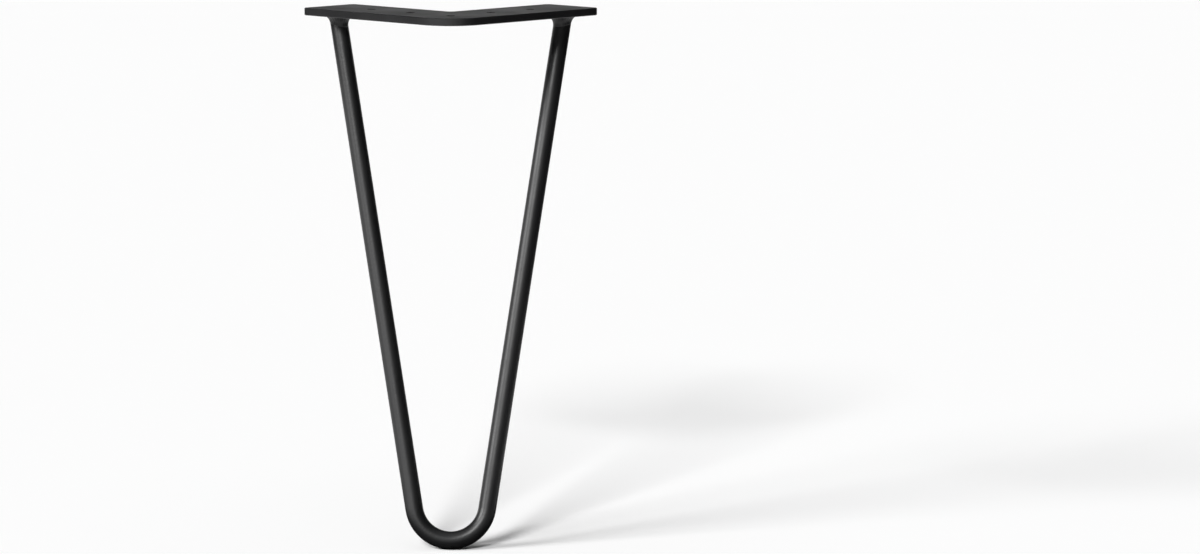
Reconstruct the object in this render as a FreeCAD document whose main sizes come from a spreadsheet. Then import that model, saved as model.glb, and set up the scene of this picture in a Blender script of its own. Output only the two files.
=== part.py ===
import FreeCAD, Part
import math
import os
from enum import IntEnum

import Sketcher
from FreeCAD import Placement, Rotation, Vector

# A hairpin table leg: one round steel rod, bent back on itself at the foot and welded by both ends
# under an L-shaped steel plate, which is screwed to the underside of a table's corner.
#
# Millimetres. X runs to the right and Y away from the table's corner, so the plate's outer corner
# points to -Y and its two arms lie at 45 degrees to either side of +Y. Z is up. The origin is the
# centre of the corner screw hole, on the plate's top face, which is the face that meets the table.

# The driving sizes. Each is one cell of the sheet, under its own name.
SIZES = {
    "plate_thickness": 5.0,
    "arm_length": 143.0,         # from the sharp outer corner, before rounding, to an arm's end
    "arm_width": 48.0,
    "corner_radius": 25.0,       # plan radius of the plate's outer corner
    "notch_radius": 3.0,         # plan radius between the arms
    "end_radius": 4.0,           # plan radius at the corners of the arms' ends
    "edge_break": 0.4,           # bevel that tumbling leaves all round both of the plate's rims
    "screw_hole": 6.0,           # diameter
    "screw_room": 17.0,          # from the last screw hole's centre to the weld's nominal toe
    "leg_height": 355.0,         # from the plate's top face to the lowest point of the foot
    "rod_diameter": 12.0,
    "bend_radius": 24.7,         # of the rod's centre-line at the foot
    "foot_setback": 8.0,         # from below the plate's sharp corner back to the foot
    "weld_radius": 6.0,          # of the hollow of the weld's face
    "weld_to_edge": 8.0,         # bare plate between the weld's nominal toe and the arm's outer edge
    "weld_to_end": 2.2,          # the same, towards the arm's end
}

# The arms' turn from the row's axes, in degrees.
ARM_TURN = 45

# Places that follow from the sizes, as expressions. "Along" and "across" are measured from the
# corner screw hole, which sits in the middle of the square that the two arms share: along an arm's
# middle line, and square to it, positive towards the notch.
HALF_WIDTH = "Sizes.arm_width / 2"
WELD_REACH = "(Sizes.rod_diameter / 2 + Sizes.weld_radius)"
ROD_ALONG = f"(Sizes.arm_length - {HALF_WIDTH} - {WELD_REACH} - Sizes.weld_to_end)"
ROD_ACROSS = f"({WELD_REACH} + Sizes.weld_to_edge - {HALF_WIDTH})"
LAST_HOLE = f"({ROD_ALONG} - {WELD_REACH} - Sizes.screw_room)"

# The rod's centre-line: where it meets the plate's underside, its lowest point, and the plane
# between them, which leans back from the foot to the arms.
ROD_X = f"(({ROD_ALONG} - {ROD_ACROSS}) * cos({ARM_TURN} deg))"
ROD_Y = f"(({ROD_ALONG} + {ROD_ACROSS}) * cos({ARM_TURN} deg))"
FOOT_Y = f"(Sizes.foot_setback - Sizes.arm_width * cos({ARM_TURN} deg))"
FOOT_Z = "(Sizes.rod_diameter / 2 - Sizes.leg_height)"
RISE = f"(-Sizes.plate_thickness - {FOOT_Z})"
LEAN = f"atan(({ROD_Y} - {FOOT_Y}) / {RISE})"
SLOPE_LENGTH = f"({RISE} / cos({LEAN}))"

# How far the rod is swept past the joint before its end is sawn off level.
OVERRUN = "Sizes.rod_diameter"

TOLERANCE = 1e-4


class Spot(IntEnum):
    """A line's, arc's or circle's own points, as a sketch's constraints count them."""
    START = 1
    END = 2
    CENTRE = 3


class Axis(IntEnum):
    """A sketch's two axes. The level one starts at the sketch's origin."""
    LEVEL = -1
    UPRIGHT = -2


def add_sheet(doc):
    """Put the driving sizes in the sheet, one row each."""
    sheet = doc.addObject("Spreadsheet::Sheet", "Sizes")
    for row, (name, value) in enumerate(SIZES.items(), start=1):
        sheet.set(f"A{row}", name)
        sheet.set(f"B{row}", str(value))
        sheet.setAlias(f"B{row}", name)
    doc.recompute()


def bind(thing, **expressions):
    """Tie properties to expressions; a double underscore stands for a dot in a property's path."""
    for path, expression in expressions.items():
        thing.setExpression(path.replace("__", "."), expression)


def origin_plane(body, role):
    return next(plane for plane in body.Origin.OriginFeatures if plane.Role == role)


def add_body(doc, name):
    body = doc.addObject("PartDesign::Body", name)
    body.Label = name
    return body


def add_sketch(body, name, role, offset=Placement()):
    """Start a sketch on one of the body's own origin planes."""
    sketch = body.newObject("Sketcher::SketchObject", name)
    sketch.AttachmentSupport = [(origin_plane(body, role), "")]
    sketch.MapMode = "FlatFace"
    sketch.AttachmentOffset = offset
    return sketch


def constrain(sketch, kind, *arguments):
    return sketch.addConstraint(Sketcher.Constraint(kind, *arguments))


def dimension(sketch, name, expression, kind, *arguments):
    """Add a named dimension whose value is an expression."""
    index = constrain(sketch, kind, *arguments)
    sketch.renameConstraint(index, name)
    sketch.setExpression(f"Constraints.{name}", expression)


def add_polygon(sketch, corners):
    """Draw a closed outline whose sides are level or upright, and return its sides."""
    points = [Vector(x, y, 0) for x, y in corners]
    sides = []
    for first, second in zip(points, points[1:] + points[:1]):
        side = sketch.addGeometry(Part.LineSegment(first, second), False)
        level = abs(first.y - second.y) < TOLERANCE
        constrain(sketch, "Horizontal" if level else "Vertical", side)
        sides.append(side)
    for side, following in zip(sides, sides[1:] + sides[:1]):
        constrain(sketch, "Coincident", side, Spot.END, following, Spot.START)
    return sides


def edge_names(shape, wanted):
    """Name the edges of a shape that pass a test."""
    return [f"Edge{number}" for number, edge in enumerate(shape.Edges, start=1) if wanted(edge)]


def is_upright(edge):
    return max(edge.BoundBox.XLength, edge.BoundBox.YLength) < TOLERANCE


def lies_at(edge, height):
    return all(abs(vertex.Z - height) < TOLERANCE for vertex in edge.Vertexes)


def add_fillet(body, name, base, edges, size):
    """Round edges of a body's feature to a size of the sheet."""
    fillet = body.newObject("PartDesign::Fillet", name)
    fillet.Base = (base, edges)
    bind(fillet, Radius=f"Sizes.{size}")
    body.Document.recompute()
    return fillet


def make_plate(doc):
    """The L-shaped plate: cut from sheet, its corners rounded, its rims bevelled and its holes drilled."""
    body = add_body(doc, "mounting_plate")
    turned = Placement(Vector(), Rotation(Vector(0, 0, 1), ARM_TURN))
    half = SIZES["arm_width"] / 2
    tip = SIZES["arm_length"] - half

    outline = add_sketch(body, "plate_outline", "XY_Plane", turned)
    corners = [(-half, -half), (tip, -half), (tip, half), (half, half), (half, tip), (-half, tip)]
    front_right, right_end, _, _, left_end, front_left = add_polygon(outline, corners)
    dimension(outline, "corner_x", f"-{HALF_WIDTH}", "DistanceX", front_right, Spot.START, -half)
    dimension(outline, "corner_y", f"-{HALF_WIDTH}", "DistanceY", front_right, Spot.START, -half)
    length, width = SIZES["arm_length"], SIZES["arm_width"]
    dimension(outline, "right_length", "Sizes.arm_length", "Distance", front_right, length)
    dimension(outline, "right_width", "Sizes.arm_width", "Distance", right_end, width)
    dimension(outline, "left_length", "Sizes.arm_length", "Distance", front_left, length)
    dimension(outline, "left_width", "Sizes.arm_width", "Distance", left_end, width)

    blank = body.newObject("PartDesign::Pad", "plate_blank")
    blank.Profile = outline
    blank.Reversed = True
    bind(blank, Length="Sizes.plate_thickness")
    doc.recompute()

    def is_arm_end(edge):
        return is_upright(edge) and abs(edge.CenterOfMass.x) > TOLERANCE

    def is_corner(edge):
        return is_upright(edge) and not is_arm_end(edge) and edge.CenterOfMass.y < 0

    def is_notch(edge):
        return is_upright(edge) and not is_arm_end(edge) and edge.CenterOfMass.y > 0

    ends = add_fillet(body, "arm_ends", blank, edge_names(blank.Shape, is_arm_end), "end_radius")
    corner = add_fillet(body, "outer_corner", ends, edge_names(ends.Shape, is_corner), "corner_radius")
    notch = add_fillet(body, "notch", corner, edge_names(corner.Shape, is_notch), "notch_radius")

    def is_rim(edge):
        return lies_at(edge, 0) or lies_at(edge, -SIZES["plate_thickness"])

    rim = body.newObject("PartDesign::Chamfer", "rim")
    rim.Base = (notch, edge_names(notch.Shape, is_rim))
    bind(rim, Size="Sizes.edge_break")
    doc.recompute()

    holes = add_sketch(body, "screw_holes", "XY_Plane", turned)
    places = {
        "corner": ("0 mm", "0 mm"),
        "right_middle": (f"{LAST_HOLE} / 2", "0 mm"),
        "right_last": (LAST_HOLE, "0 mm"),
        "left_middle": ("0 mm", f"{LAST_HOLE} / 2"),
        "left_last": ("0 mm", LAST_HOLE),
    }
    for place, (x, y) in places.items():
        circle = Part.Circle(Vector(), Vector(0, 0, 1), SIZES["screw_hole"] / 2)
        hole = holes.addGeometry(circle, False)
        dimension(holes, f"{place}_size", "Sizes.screw_hole", "Diameter", hole, SIZES["screw_hole"])
        dimension(holes, f"{place}_x", x, "DistanceX", hole, Spot.CENTRE, 0)
        dimension(holes, f"{place}_y", y, "DistanceY", hole, Spot.CENTRE, 0)

    drilled = body.newObject("PartDesign::Pocket", "drilled")
    drilled.Profile = holes
    drilled.Type = "ThroughAll"
    doc.recompute()
    return body


def make_rod(doc):
    """The bent rod: half of it swept from the foot's middle, mirrored, and both ends sawn level."""
    body = add_body(doc, "hairpin_rod")

    # The turn about X is a first guess here, as are the sketch's points below: it gives the lean its
    # axis, and the expressions give the true values.
    guessed_turn = Placement(Vector(), Rotation(Vector(1, 0, 0), -20))
    path = add_sketch(body, "half_path", "XZ_Plane", guessed_turn)
    bind(
        path,
        AttachmentOffset__Base__y=FOOT_Z,
        AttachmentOffset__Base__z=f"-{FOOT_Y}",
        AttachmentOffset__Rotation__Angle=f"-{LEAN}",
    )
    radius = SIZES["bend_radius"]
    circle = Part.Circle(Vector(0, radius, 0), Vector(0, 0, 1), radius)
    guessed_arc = Part.ArcOfCircle(circle, math.radians(-90), math.radians(-10))
    bend = path.addGeometry(guessed_arc, False)
    top = Vector(SIZES["arm_length"] / 2, SIZES["leg_height"], 0)
    straight = path.addGeometry(Part.LineSegment(guessed_arc.EndPoint, top), False)
    joint = path.addGeometry(Part.Point(top), True)
    constrain(path, "Coincident", bend, Spot.START, Axis.LEVEL, Spot.START)
    constrain(path, "PointOnObject", bend, Spot.CENTRE, Axis.UPRIGHT)
    constrain(path, "Tangent", bend, Spot.END, straight, Spot.START)
    constrain(path, "PointOnObject", joint, Spot.START, straight)
    dimension(path, "bend_radius", "Sizes.bend_radius", "Radius", bend, radius)
    dimension(path, "joint_x", ROD_X, "DistanceX", joint, Spot.START, top.x)
    dimension(path, "joint_y", SLOPE_LENGTH, "DistanceY", joint, Spot.START, top.y)
    dimension(path, "end_y", f"{SLOPE_LENGTH} + {OVERRUN}", "DistanceY", straight, Spot.END, top.y)

    section = add_sketch(body, "rod_section", "YZ_Plane")
    circle = Part.Circle(Vector(), Vector(0, 0, 1), SIZES["rod_diameter"] / 2)
    ring = section.addGeometry(circle, False)
    dimension(section, "size", "Sizes.rod_diameter", "Diameter", ring, SIZES["rod_diameter"])
    dimension(section, "centre_y", FOOT_Y, "DistanceX", ring, Spot.CENTRE, 0)
    dimension(section, "centre_z", FOOT_Z, "DistanceY", ring, Spot.CENTRE, 0)
    doc.recompute()

    half = body.newObject("PartDesign::AdditivePipe", "half_rod")
    half.Profile = section
    half.Spine = (path, ["Edge1", "Edge2"])
    doc.recompute()

    whole = body.newObject("PartDesign::Mirrored", "whole_rod")
    whole.Originals = [half]
    whole.MirrorPlane = (origin_plane(body, "YZ_Plane"), [""])
    body.Tip = whole
    doc.recompute()

    cut = add_sketch(body, "saw_cut", "XY_Plane")
    bind(cut, AttachmentOffset__Base__z="-Sizes.plate_thickness")
    _, right, _, left = add_polygon(cut, [(-1, -1), (1, -1), (1, 1), (-1, 1)])
    dimension(cut, "right_x", f"{ROD_X} + {OVERRUN}", "DistanceX", right, Spot.START, 1)
    dimension(cut, "left_x", f"-{ROD_X} - {OVERRUN}", "DistanceX", left, Spot.START, -1)
    dimension(cut, "near_y", f"{ROD_Y} - {OVERRUN}", "DistanceY", right, Spot.START, -1)
    dimension(cut, "far_y", f"{ROD_Y} + 2 * {OVERRUN}", "DistanceY", right, Spot.END, 1)
    sawn = body.newObject("PartDesign::Pocket", "sawn_rod")
    sawn.Profile = cut
    sawn.Reversed = True
    bind(sawn, Length=f"2 * {OVERRUN}")
    doc.recompute()
    return body


def make_welds(doc, plate, rod):
    """The two weld beads: what a hollow fillet adds round each joint of the rod and the plate."""
    joined = doc.addObject("Part::Fuse", "joined")
    joined.Base = plate
    joined.Tool = rod
    doc.recompute()

    body = add_body(doc, "welded")
    body.BaseFeature = joined
    doc.recompute()
    start = body.Tip

    def is_joint(edge):
        return lies_at(edge, -SIZES["plate_thickness"]) and isinstance(edge.Curve, Part.Ellipse)

    add_fillet(body, "weld_face", start, edge_names(start.Shape, is_joint), "weld_radius")

    beads = doc.addObject("Part::Cut", "weld_beads")
    beads.Base = body
    beads.Tool = joined
    doc.recompute()
    return beads


def check_document(doc, pieces):
    """Stop before anything is written if a feature failed or a piece isn't as many sound solids."""
    for thing in doc.Objects:
        if {"Invalid", "Error"} & set(thing.State):
            raise RuntimeError(f"{thing.Name} failed: {thing.State}")
    for piece, solids in pieces.items():
        shape = piece.Shape
        if shape.isNull() or not shape.isValid() or len(shape.Solids) != solids:
            raise RuntimeError(f"{piece.Label} isn't {solids} sound solid(s)")


def main():
    doc = FreeCAD.newDocument("hairpin_leg")
    add_sheet(doc)
    plate = make_plate(doc)
    rod = make_rod(doc)
    welds = make_welds(doc, plate, rod)
    pieces = {plate: 1, rod: 1, welds: 2}
    check_document(doc, pieces)
    os.makedirs("parts", exist_ok=True)
    for piece in pieces:
        piece.Shape.exportStep(f"parts/{piece.Label}.step")
        print(f"{piece.Label}: {piece.Shape.Volume:.1f} cubic millimetres")


main()
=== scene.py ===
import math

import bpy
from bpy.props import FloatProperty, FloatVectorProperty, IntProperty, PointerProperty
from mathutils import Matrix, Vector


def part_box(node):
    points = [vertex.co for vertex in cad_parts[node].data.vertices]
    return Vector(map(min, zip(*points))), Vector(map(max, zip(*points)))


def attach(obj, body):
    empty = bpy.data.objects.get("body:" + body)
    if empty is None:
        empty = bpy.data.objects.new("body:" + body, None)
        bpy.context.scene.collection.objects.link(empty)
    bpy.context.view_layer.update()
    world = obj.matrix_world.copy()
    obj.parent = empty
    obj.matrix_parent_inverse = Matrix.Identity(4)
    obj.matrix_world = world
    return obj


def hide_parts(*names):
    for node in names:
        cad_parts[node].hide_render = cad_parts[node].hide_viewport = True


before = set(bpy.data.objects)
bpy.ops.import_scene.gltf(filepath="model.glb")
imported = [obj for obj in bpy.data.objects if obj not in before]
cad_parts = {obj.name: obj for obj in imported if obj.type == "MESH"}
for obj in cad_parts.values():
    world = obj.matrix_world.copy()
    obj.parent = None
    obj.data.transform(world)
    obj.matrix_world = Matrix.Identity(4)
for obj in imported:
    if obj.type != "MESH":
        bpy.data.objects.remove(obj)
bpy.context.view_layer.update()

bl_info = {
    "name": "Hairpin Table Leg",
    "version": (1, 0, 0),
    "blender": (4, 5, 0),
    "location": "3D View > Sidebar > Hairpin Leg",
    "description": "Welds and powder coats a hairpin table leg, and sets it in a plain studio",
    "category": "Object",
}

MM = 0.001

PLATE, ROD, WELDS = "mounting_plate", "hairpin_rod", "weld_beads"
PLATE_BOX, ROD_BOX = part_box(PLATE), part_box(ROD)
UNDERSIDE = PLATE_BOX[0].z
FLOOR = ROD_BOX[0].z

# Nearly all values of a noise texture lie between these.
NOISE_LOW, NOISE_HIGH = 0.3, 0.7

# How far a face's normal leans up or down, as a sine: less on a cut wall, and more on a rolled face.
WALL_LEAN, ROLLED_LEAN = 0.1, 0.4

# How many times as long as wide the drag lines on the cut walls and the draw marks on the bar are.
DRAG_LINE_LENGTH, DRAW_MARK_LENGTH = 20, 25

# Each bead's side, 1 for the right and -1 for the left, and where its unevenness and ripples start.
BEADS = ((-1, 0.4), (1, 1.7))

# The bead's unevenness is a wave that goes twice round the bar, and a weaker one that goes five times.
SLOW_WAVES, FAST_WAVES = 2, 5
FAST_STRENGTH = 0.6

# The ripples' spacing is measured this far out from the bar, as a share of the hollow's radius. Each
# ripple bows forward by this share of the spacing, and the power gives it a broad crest.
FACE_MIDDLE = 0.4
RIPPLE_BOW = 0.5
CREST_POWER = 0.7

# The soft lamps. Each has its bearing to the left of straight in front of the leg, its height above the
# horizon and its width, in degrees.
SOFTBOXES = {
    "near_key_softbox": (25, 36, 16),
    "far_key_softbox": (68, 28, 20),
    "top_softbox": (0, 90, 60),
}

# The black cards that keep some of the white room and floor out of the gloss. Each has two opposite
# edges, as points across, back and above the floor, in metres. The right one stands just beyond the
# frame, the left one is level with the plate's left arm, and the third lies on the floor at the foot.
FLAGS = {
    "right_flag": (
        [(0.50, -0.90, 0.0), (0.52, 0.0, 0.0), (0.74, 1.0, 0.0)],
        [(0.50, -0.90, 1.2), (0.52, 0.0, 1.2), (0.74, 1.0, 1.2)],
    ),
    "left_flag": (
        [(-0.20, -0.30, 0.31), (-0.20, 0.20, 0.31)],
        [(-0.20, -0.30, 0.385), (-0.20, 0.20, 0.385)],
    ),
    "foot_flag": (
        [(-0.15, -0.25, 0.0005), (-0.15, 0.10, 0.0005)],
        [(0.15, -0.25, 0.0005), (0.15, 0.10, 0.0005)],
    ),
}

# The photograph's frame, in pixels: its width, the upright line that the built leg is centred on, and
# the focal length of the camera that was fitted to it. The sensor's width is in millimetres.
PHOTO_WIDTH = 1200
PHOTO_LEG_X = 450.75
PHOTO_LENS = 3384.0
SENSOR_WIDTH = 36


def linear(hex_colour):
    """Turn an sRGB hex colour into Blender's linear red, green, blue and alpha."""
    parts = [int(hex_colour[start:start + 2], 16) / 255 for start in (1, 3, 5)]
    channels = [part / 12.92 if part <= 0.04045 else ((part + 0.055) / 1.055) ** 2.4 for part in parts]
    return (*channels, 1.0)


def add_node(tree, kind, inputs=None, **settings):
    """Add a node with its settings. An input is a plain value, or another node's output to link from."""
    node = tree.nodes.new(kind)
    for name, value in settings.items():
        setattr(node, name, value)
    for name, value in (inputs or {}).items():
        if isinstance(value, bpy.types.NodeSocket):
            tree.links.new(value, node.inputs[name])
        else:
            node.inputs[name].default_value = value
    return node


class HairpinCoatSettings(bpy.types.PropertyGroup):
    """The black powder coat over the whole leg."""
    colour: FloatVectorProperty(
        name="Colour", description="Colour of the powder coat", subtype="COLOR", size=4,
        min=0, max=1, default=linear("#101011"),
    )
    roughness: FloatProperty(
        name="Roughness", description="How matt the baked coat is", min=0, max=1, default=0.45,
    )
    patchiness: FloatProperty(
        name="Patchiness", description="How far the roughness strays where the coat is thicker or thinner",
        min=0, max=0.2, default=0.05,
    )
    patch_size: FloatProperty(
        name="Patch size", description="Width of those thicker and thinner patches",
        unit="LENGTH", default=35 * MM,
    )
    peel_spacing: FloatProperty(
        name="Peel spacing", description="Distance between the low humps of the orange peel",
        unit="LENGTH", default=1.6 * MM,
    )
    peel_height: FloatProperty(
        name="Peel height", description="Height of the orange peel's humps", unit="LENGTH",
        default=0.065 * MM,
    )


class HairpinSteelSettings(bpy.types.PropertyGroup):
    """What still shows of the steel under the coat."""
    cut_spacing: FloatProperty(
        name="Cut spacing", description="Distance between the upright drag lines on the plate's cut walls",
        unit="LENGTH", default=0.9 * MM,
    )
    cut_depth: FloatProperty(
        name="Cut depth", description="Depth of the drag lines under the coat", unit="LENGTH",
        default=0.1 * MM,
    )
    draw_spacing: FloatProperty(
        name="Draw spacing", description="Distance between the long draw marks round the bar",
        unit="LENGTH", default=1.5 * MM,
    )
    draw_depth: FloatProperty(
        name="Draw depth", description="Depth of the draw marks under the coat", unit="LENGTH",
        default=0.03 * MM,
    )


class HairpinWeldSettings(bpy.types.PropertyGroup):
    """The weld bead round each end of the bar."""
    bar_radius: FloatProperty(
        name="Bar radius", description="Half of the bar's diameter", unit="LENGTH", default=6 * MM,
    )
    bend_radius: FloatProperty(
        name="Bend radius", description="Of the bar's centre-line at the foot",
        unit="LENGTH", default=24.7 * MM,
    )
    end_across: FloatProperty(
        name="End across", description="From the leg's middle to the centre of the bar's end, sideways",
        unit="LENGTH", default=76.93 * MM,
    )
    end_back: FloatProperty(
        name="End back", description="From the corner screw hole to the centre of the bar's end, back",
        unit="LENGTH", default=71.28 * MM,
    )
    foot_back: FloatProperty(
        name="Foot back", description="From the corner screw hole to the middle of the foot, back",
        unit="LENGTH", default=-25.94 * MM,
    )
    hollow: FloatProperty(
        name="Hollow", description="Radius of the bead's hollow face", unit="LENGTH", default=6 * MM,
    )
    unevenness: FloatProperty(
        name="Unevenness", description="How far the hollow's radius wanders round the bar",
        unit="LENGTH", default=0.3 * MM,
    )
    ripple_spacing: FloatProperty(
        name="Ripple spacing", description="Distance between ripples, about half-way up the bead's face",
        unit="LENGTH", default=2.1 * MM,
    )
    ripple_height: FloatProperty(
        name="Ripple height", description="Height of the ripples under the coat", unit="LENGTH",
        default=0.22 * MM,
    )
    sunk: FloatProperty(
        name="Sunk", description="How far the bead's hidden side reaches into the plate and the bar",
        unit="LENGTH", default=0.5 * MM,
    )
    around: IntProperty(
        name="Points around", description="Mesh points round the bar", min=64, default=288,
    )
    across: IntProperty(
        name="Points across", description="Mesh points from the plate to the bar", min=6, default=14,
    )


class HairpinStageSettings(bpy.types.PropertyGroup):
    """The floor, the lamps and the camera."""
    floor_colour: FloatVectorProperty(
        name="Floor colour", description="Colour of the plain floor", subtype="COLOR", size=4,
        min=0, max=1, default=linear("#fafafa"),
    )
    floor_radius: FloatProperty(
        name="Floor radius", description="Radius of the round floor", unit="LENGTH", default=40.0,
    )
    room_strength: FloatProperty(
        name="Room", description="Strength of the even light from the room", min=0, default=0.05,
    )
    near_key_strength: FloatProperty(
        name="Near key light", description="Strength of the soft lamp to the left of the camera", min=0,
        default=2.35,
    )
    far_key_strength: FloatProperty(
        name="Far key light", description="Strength of the soft lamp further round to the left", min=0,
        default=2.6,
    )
    top_strength: FloatProperty(
        name="Top light", description="Strength of the soft lamp overhead", min=0, default=0.45,
    )
    walls_end: FloatProperty(
        name="Walls end", description="How far above the horizon the room's white walls reach",
        subtype="ANGLE", default=math.radians(11),
    )
    walls_fade: FloatProperty(
        name="Walls fade", description="Angle over which the walls fade into the dim ceiling, each way",
        subtype="ANGLE", default=math.radians(2),
    )
    camera_distance: FloatProperty(
        name="Camera distance", description="From the corner screw hole forward to the camera, level",
        unit="LENGTH", default=2.234,
    )
    camera_height: FloatProperty(
        name="Camera height", description="From the plate's top face up to the camera", unit="LENGTH",
        default=0.1796,
    )
    camera_pitch: FloatProperty(
        name="Camera pitch", description="How far the camera looks down", subtype="ANGLE", default=0.1573,
    )


def new_material(name):
    """Make a material with no nodes in it."""
    material = bpy.data.materials.new(name)
    material.use_nodes = True
    material.node_tree.nodes.clear()
    return material


def matt_board(name, colour):
    """Uncoated board for the studio: plain and matt, with no gloss at all."""
    material = new_material(name)
    tree = material.node_tree
    matt = add_node(tree, "ShaderNodeBsdfDiffuse", {"Color": colour})
    add_node(tree, "ShaderNodeOutputMaterial", {"Surface": matt.outputs["BSDF"]})
    return material


def powder_coat(name, steel=None):
    """Satin black polyester powder, sprayed on and baked.

    The film flows out while it bakes, so it has low humps of orange peel, no grain, and patches that are
    a little glossier where it is thick. The humps are drawn three times as high as real ones, so that
    they show. The steel function adds what still shows of the surface under the film: it takes the tree
    and the place on the surface, and returns a height and its depth in metres.
    """
    coat = bpy.context.scene.hairpin_coat
    material = new_material(name)
    tree = material.node_tree
    place = add_node(tree, "ShaderNodeTexCoord").outputs["Object"]
    patches = add_node(
        tree, "ShaderNodeTexNoise", {"Vector": place, "Scale": 1 / coat.patch_size, "Detail": 2.0},
    )
    roughness = add_node(
        tree, "ShaderNodeMapRange",
        {
            "Value": patches.outputs["Fac"], "From Min": NOISE_LOW, "From Max": NOISE_HIGH,
            "To Min": coat.roughness - coat.patchiness, "To Max": coat.roughness + coat.patchiness,
        },
    )
    peel = add_node(
        tree, "ShaderNodeTexNoise", {"Vector": place, "Scale": 1 / coat.peel_spacing, "Detail": 2.0},
    )
    humps = {"Height": peel.outputs["Fac"], "Distance": coat.peel_height}
    if steel:
        height, depth = steel(tree, place)
        below = add_node(tree, "ShaderNodeBump", {"Height": height, "Distance": depth})
        humps["Normal"] = below.outputs["Normal"]
    film = add_node(tree, "ShaderNodeBump", humps)
    shader = add_node(
        tree, "ShaderNodeBsdfPrincipled",
        {
            "Base Color": coat.colour, "Roughness": roughness.outputs["Result"],
            "Normal": film.outputs["Normal"],
        },
    )
    add_node(tree, "ShaderNodeOutputMaterial", {"Surface": shader.outputs["BSDF"]})
    return material


def upright_marks(tree, place, spacing, length, detail):
    """Marks that run up the leg, that far apart and that many times as long as wide."""
    drawn_out = add_node(
        tree, "ShaderNodeVectorMath", {0: place, 1: (1, 1, 1 / length)}, operation="MULTIPLY",
    )
    marks = add_node(
        tree, "ShaderNodeTexNoise",
        {"Vector": drawn_out.outputs["Vector"], "Scale": 1 / spacing, "Detail": detail},
    )
    return marks.outputs["Fac"]


def cut_walls(tree, place):
    """Laser-cut sheet: fine upright drag lines on the walls, and nothing on the flat rolled faces.

    The lines are drawn twice as far apart and as deep as real ones, so that they show.
    """
    steel = bpy.context.scene.hairpin_steel
    lines = upright_marks(tree, place, steel.cut_spacing, DRAG_LINE_LENGTH, 2.0)
    normal = add_node(tree, "ShaderNodeNewGeometry").outputs["Normal"]
    facing = add_node(tree, "ShaderNodeSeparateXYZ", {"Vector": normal})
    lean = add_node(tree, "ShaderNodeMath", {0: facing.outputs["Z"]}, operation="ABSOLUTE")
    walls = add_node(
        tree, "ShaderNodeMapRange",
        {"Value": lean.outputs[0], "From Min": ROLLED_LEAN, "From Max": WALL_LEAN},
    )
    height = add_node(
        tree, "ShaderNodeMath", {0: lines, 1: walls.outputs["Result"]}, operation="MULTIPLY",
    )
    return height.outputs[0], steel.cut_depth


def drawn_bar(tree, place):
    """Drawn round bar: faint marks along its length, up the leg, drawn wide enough to show."""
    steel = bpy.context.scene.hairpin_steel
    return upright_marks(tree, place, steel.draw_spacing, DRAW_MARK_LENGTH, 1.0), steel.draw_depth


def dress(node, material):
    """Give a CAD node its finish."""
    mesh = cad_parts[node].data
    mesh.materials.clear()
    mesh.materials.append(material)


def bar_direction(weld):
    """The way that the right-hand straight of the bar runs, up from the foot."""
    foot_height = FLOOR + weld.bar_radius
    lean = math.atan2(weld.end_back - weld.foot_back, UNDERSIDE - foot_height)
    slope_length = (UNDERSIDE - foot_height) / math.cos(lean)
    # The straight touches the foot's bend, which is centred on the leg's middle line.
    rise = slope_length - weld.bend_radius
    to_end = math.hypot(weld.end_across, rise)
    splay = math.acos(weld.bend_radius / to_end) - math.atan2(rise, weld.end_across)
    return Vector((
        math.sin(splay),
        math.cos(splay) * math.sin(lean),
        math.cos(splay) * math.cos(lean),
    ))


def bead_section(weld, axis, across, back, angle, start):
    """The bead's outline where it is cut at one angle round the bar.

    The hollow face is part of a ball that rests against the plate and the bar.
    """
    slow = math.sin(SLOW_WAVES * angle + start)
    fast = math.sin(FAST_WAVES * angle + 2 * start)
    hollow = weld.hollow + weld.unevenness * (slow + FAST_STRENGTH * fast) / 2
    outward = math.cos(angle) * across + math.sin(angle) * back
    end = Vector((weld.end_across, weld.end_back, UNDERSIDE))
    beside = end + (weld.bar_radius + hollow) * outward
    along = (UNDERSIDE - hollow - beside.z) / axis.z
    ball = beside + along * axis
    up = Vector((0, 0, 1))
    turn = up.angle(-outward)
    ripples_here = (weld.bar_radius + FACE_MIDDLE * hollow) * angle / weld.ripple_spacing + start
    points = []
    for step in range(weld.across):
        share = step / (weld.across - 1)
        # Each ripple bows forward in the middle of the face, and dies out at both toes.
        bow = 4 * share * (1 - share)
        crest = abs(math.sin(math.pi * (ripples_here - RIPPLE_BOW * bow))) ** CREST_POWER
        radius = hollow - weld.ripple_height * crest * math.sqrt(bow)
        way = (math.sin((1 - share) * turn) * up - math.sin(share * turn) * outward) / math.sin(turn)
        points.append(ball + radius * way)
    # The hidden side lies a little way inside the bar and the plate.
    inside = end + (weld.bar_radius - weld.sunk) * outward
    points.append(points[-1] - weld.sunk * outward)
    points.append(inside + (UNDERSIDE + weld.sunk - inside.z) / axis.z * axis)
    points.append(points[0] + weld.sunk * up)
    return points


def build_bead(weld, points, faces, side, start):
    """Add one closed bead to the mesh lists, on the right for side 1 and on the left for side -1."""
    axis = bar_direction(weld)
    across = Vector((1, 0, 0)) - axis * axis.x
    across.normalize()
    back = axis.cross(across)
    first = len(points)
    for turn in range(weld.around):
        section = bead_section(weld, axis, across, back, 2 * math.pi * turn / weld.around, start)
        points += [Vector((side * point.x, point.y, point.z)) for point in section]
    row = len(section)
    for turn in range(weld.around):
        here, there = first + turn * row, first + (turn + 1) % weld.around * row
        for step in range(row):
            following = (step + 1) % row
            corners = (here + step, here + following, there + following, there + step)
            faces.append(corners[::side])


class HAIRPIN_OT_coat_plate(bpy.types.Operator):
    """Coat the L-shaped mounting plate"""
    bl_idname = "hairpin.coat_plate"
    bl_label = "Coat Plate"

    def execute(self, context):
        dress(PLATE, powder_coat("powder_coated_laser_cut_sheet", cut_walls))
        return {"FINISHED"}


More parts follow.
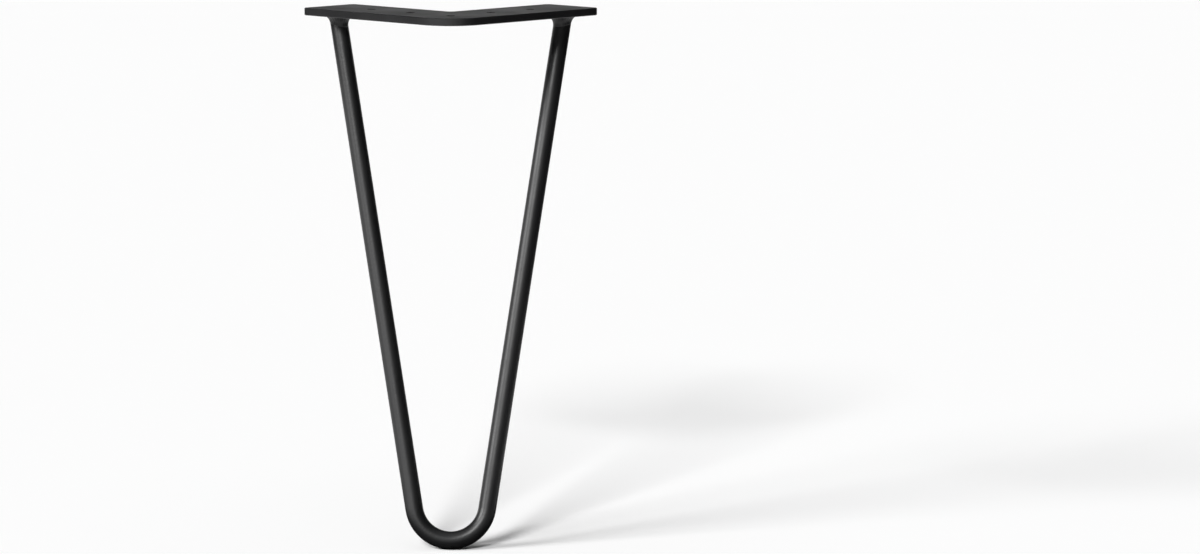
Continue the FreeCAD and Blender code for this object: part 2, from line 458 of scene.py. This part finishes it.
class HAIRPIN_OT_coat_bar(bpy.types.Operator):
    """Coat the bent round bar"""
    bl_idname = "hairpin.coat_bar"
    bl_label = "Coat Bar"

    def execute(self, context):
        dress(ROD, powder_coat("powder_coated_round_bar", drawn_bar))
        return {"FINISHED"}


class HAIRPIN_OT_weld_bar(bpy.types.Operator):
    """Weld the bar's ends to the plate, with rippled beads"""
    bl_idname = "hairpin.weld_bar"
    bl_label = "Weld Bar"

    def execute(self, context):
        points, faces = [], []
        for side, start in BEADS:
            build_bead(context.scene.hairpin_weld, points, faces, side, start)
        mesh = bpy.data.meshes.new("rippled_weld_beads")
        mesh.from_pydata(points, [], faces)
        mesh.shade_smooth()
        mesh.materials.append(powder_coat("powder_coated_weld"))
        beads = bpy.data.objects.new("rippled_weld_beads", mesh)
        context.scene.collection.objects.link(beads)
        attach(beads, "root")
        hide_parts(WELDS)
        return {"FINISHED"}


def lay_floor(stage):
    """A round pale floor under the foot."""
    bpy.ops.mesh.primitive_circle_add(
        vertices=128, radius=stage.floor_radius, fill_type="NGON", location=(0, 0, FLOOR),
    )
    floor = bpy.context.object
    floor.name = "floor"
    floor.data.materials.append(matt_board("matt_white_board", stage.floor_colour))


def light_room(scene, stage):
    """A dim, even room. The camera and the gloss see its walls as white, up to where they end."""
    scene.world = bpy.data.worlds.new("room")
    scene.world.use_nodes = True
    tree = scene.world.node_tree
    tree.nodes.clear()
    way = add_node(tree, "ShaderNodeTexCoord").outputs["Generated"]
    rise = add_node(tree, "ShaderNodeSeparateXYZ", {"Vector": way}).outputs["Z"]
    walls = add_node(
        tree, "ShaderNodeMapRange",
        {
            "Value": rise, "From Min": math.sin(stage.walls_end + stage.walls_fade),
            "From Max": math.sin(stage.walls_end - stage.walls_fade),
        },
    )
    seen = add_node(tree, "ShaderNodeLightPath").outputs
    camera_or_gloss = add_node(
        tree, "ShaderNodeMath", {0: seen["Is Camera Ray"], 1: seen["Is Glossy Ray"]}, operation="MAXIMUM",
    )
    any_view = add_node(
        tree, "ShaderNodeMath", {0: camera_or_gloss.outputs[0], 1: seen["Is Transmission Ray"]},
        operation="MAXIMUM",
    )
    white = add_node(
        tree, "ShaderNodeMath", {0: any_view.outputs[0], 1: walls.outputs["Result"]}, operation="MULTIPLY",
    )
    strength = add_node(
        tree, "ShaderNodeMapRange",
        {"Value": white.outputs[0], "To Min": stage.room_strength, "To Max": 1.0},
    )
    room = add_node(
        tree, "ShaderNodeBackground", {"Color": linear("#ffffff"), "Strength": strength.outputs["Result"]},
    )
    add_node(tree, "ShaderNodeOutputWorld", {"Surface": room.outputs["Background"]})


def hold_flags(scene):
    """Black cards near the leg, that only reflections see."""
    material = matt_board("black_card", linear("#0a0a0a"))
    for name, (edge, far_edge) in FLAGS.items():
        mesh = bpy.data.meshes.new(name)
        points = [Vector((across, back, FLOOR + rise)) for across, back, rise in edge + far_edge]
        far = len(edge)
        faces = [(near, near + 1, far + near + 1, far + near) for near in range(far - 1)]
        mesh.from_pydata(points, [], faces)
        mesh.materials.append(material)
        flag = bpy.data.objects.new(name, mesh)
        scene.collection.objects.link(flag)
        flag.visible_camera = flag.visible_diffuse = flag.visible_shadow = False


def hang_softbox(scene, name, strength):
    """A soft lamp so far away that it lights everything alike."""
    bearing, rise, spread = SOFTBOXES[name]
    lamp = bpy.data.lights.new(name, "SUN")
    lamp.energy = strength
    lamp.angle = math.radians(spread)
    holder = bpy.data.objects.new(name, lamp)
    holder.rotation_euler = (math.radians(90 - rise), 0, math.radians(-bearing))
    scene.collection.objects.link(holder)


def set_camera(scene, stage):
    """The photograph's view: square on to the plate's front corner, from a little above it."""
    camera = bpy.data.cameras.new("camera")
    holder = bpy.data.objects.new("camera", camera)
    scene.collection.objects.link(holder)
    holder.location = (0, -stage.camera_distance, stage.camera_height)
    holder.rotation_euler = (math.pi / 2 - stage.camera_pitch, 0, 0)
    camera.sensor_width = SENSOR_WIDTH
    camera.lens = SENSOR_WIDTH * PHOTO_LENS / PHOTO_WIDTH
    camera.shift_x = (PHOTO_WIDTH / 2 - PHOTO_LEG_X) / PHOTO_WIDTH
    camera.clip_end = 2 * stage.floor_radius
    scene.camera = holder


class HAIRPIN_OT_set_stage(bpy.types.Operator):
    """Set the floor, the lamps and the camera"""
    bl_idname = "hairpin.set_stage"
    bl_label = "Set Stage"

    def execute(self, context):
        scene = context.scene
        stage = scene.hairpin_stage
        lay_floor(stage)
        light_room(scene, stage)
        hang_softbox(scene, "near_key_softbox", stage.near_key_strength)
        hang_softbox(scene, "far_key_softbox", stage.far_key_strength)
        hang_softbox(scene, "top_softbox", stage.top_strength)
        hold_flags(scene)
        set_camera(scene, stage)
        return {"FINISHED"}


class HAIRPIN_PT_leg(bpy.types.Panel):
    """The leg's pieces and its stage"""
    bl_idname = "HAIRPIN_PT_leg"
    bl_label = "Hairpin Leg"
    bl_space_type = "VIEW_3D"
    bl_region_type = "UI"
    bl_category = "Hairpin Leg"

    def draw(self, context):
        for operator in OPERATORS:
            self.layout.operator(operator.bl_idname)


SETTINGS = {
    "hairpin_coat": HairpinCoatSettings,
    "hairpin_steel": HairpinSteelSettings,
    "hairpin_weld": HairpinWeldSettings,
    "hairpin_stage": HairpinStageSettings,
}
OPERATORS = [HAIRPIN_OT_coat_plate, HAIRPIN_OT_coat_bar, HAIRPIN_OT_weld_bar, HAIRPIN_OT_set_stage]


def register():
    for name, group in SETTINGS.items():
        bpy.utils.register_class(group)
        setattr(bpy.types.Scene, name, PointerProperty(type=group))
    for kind in [*OPERATORS, HAIRPIN_PT_leg]:
        bpy.utils.register_class(kind)


def unregister():
    for kind in [HAIRPIN_PT_leg, *reversed(OPERATORS)]:
        bpy.utils.unregister_class(kind)
    for name, group in reversed(SETTINGS.items()):
        delattr(bpy.types.Scene, name)
        bpy.utils.unregister_class(group)


def main():
    register()
    bpy.context.scene.view_settings.view_transform = "Standard"
    bpy.ops.hairpin.coat_plate()
    bpy.ops.hairpin.coat_bar()
    bpy.ops.hairpin.weld_bar()
    bpy.ops.hairpin.set_stage()


if __name__ == "__main__":
    main()
